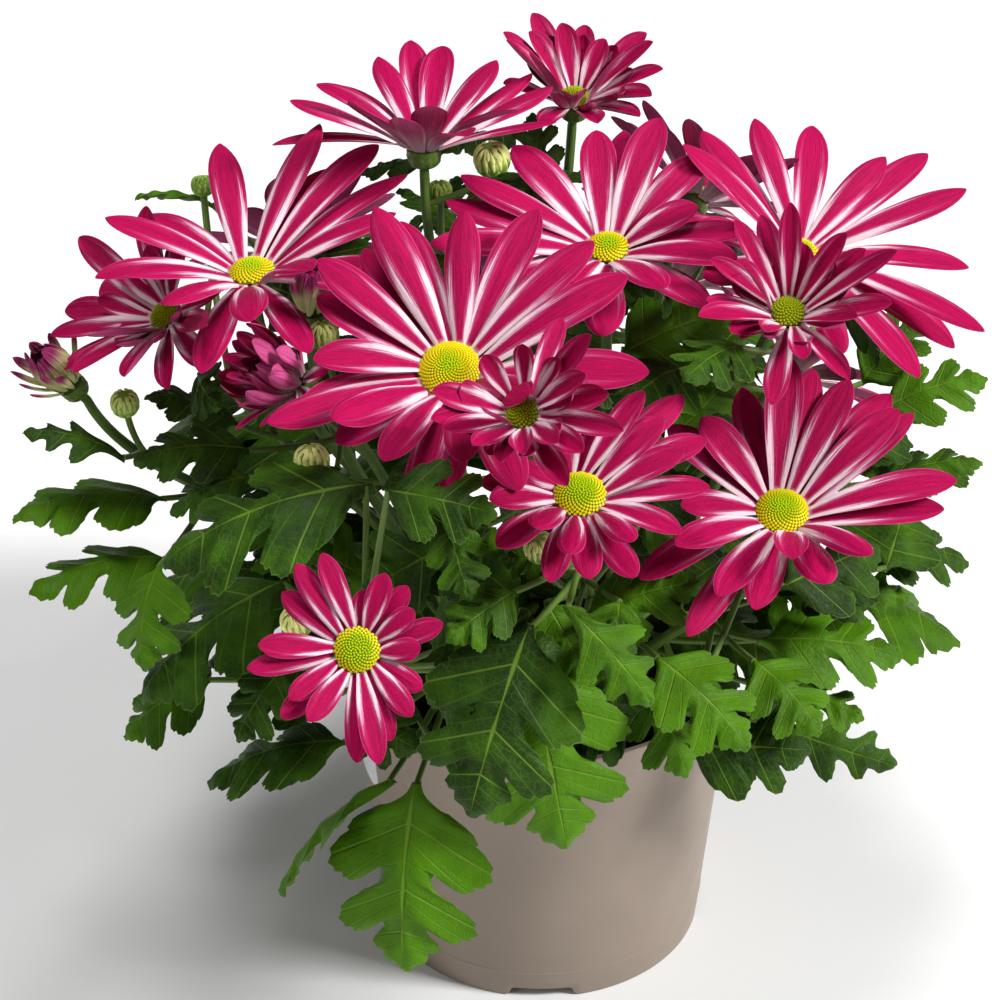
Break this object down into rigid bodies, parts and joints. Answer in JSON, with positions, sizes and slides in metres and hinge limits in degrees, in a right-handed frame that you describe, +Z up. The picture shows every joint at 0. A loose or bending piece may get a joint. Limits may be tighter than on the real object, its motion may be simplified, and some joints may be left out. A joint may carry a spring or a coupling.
{
  "type": "potted chrysanthemum",
  "caption": "Pot chrysanthemum with daisy-like striped magenta flowers, lobed dark green leaves and buds, growing in a plain tapered nursery pot.",
  "frame": {"origin": "middle of the pot's underside, on the surface that the pot stands on", "axes": "+Z up, the plant's front towards -Y, its right side towards +X"},
  "size_m": [0.2843, 0.2755, 0.2812],
  "materials": {
    "pot_plastic": "satin",
    "potting_soil": "matte",
    "green_tissue": "satin",
    "ray_florets": "satin",
    "disc_florets": "matte"
  },
  "bodies": {
    "root": {"pot": "pot_plastic", "soil": "potting_soil", "leafy_stem_1": "green_tissue", "leafy_stem_2": "green_tissue", "leafy_stem_3": "green_tissue", "leafy_stem_4": "green_tissue", "leafy_stem_5": "green_tissue", "bloom_01_rays": "ray_florets", "bloom_02_rays": "ray_florets", "bloom_03_rays": "ray_florets", "bloom_04_rays": "ray_florets", "bloom_05_rays": "ray_florets", "bloom_06_rays": "ray_florets", "bloom_07_rays": "ray_florets", "bloom_08_rays": "ray_florets", "bloom_09_rays": "ray_florets", "bloom_10_rays": "ray_florets", "bloom_11_rays": "ray_florets", "bloom_12_rays": "ray_florets", "bloom_13_rays": "ray_florets", "bloom_14_rays": "ray_florets", "bloom_15_rays": "ray_florets", "bloom_16_rays": "ray_florets", "bloom_17_rays": "ray_florets", "bloom_18_rays": "ray_florets", "bloom_19_rays": "ray_florets", "bloom_20_rays": "ray_florets", "bloom_01_disc": "disc_florets", "bloom_02_disc": "disc_florets", "bloom_03_disc": "disc_florets", "bloom_04_disc": "disc_florets", "bloom_05_disc": "disc_florets", "bloom_06_disc": "disc_florets", "bloom_07_disc": "disc_florets", "bloom_08_disc": "disc_florets", "bloom_09_disc": "disc_florets", "bloom_10_disc": "disc_florets", "bloom_11_disc": "disc_florets", "bloom_12_disc": "disc_florets", "bloom_16_disc": "disc_florets", "bloom_17_disc": "disc_florets", "bloom_18_disc": "disc_florets", "bloom_19_disc": "disc_florets", "bloom_20_disc": "disc_florets"}
  },
  "joints": []
}
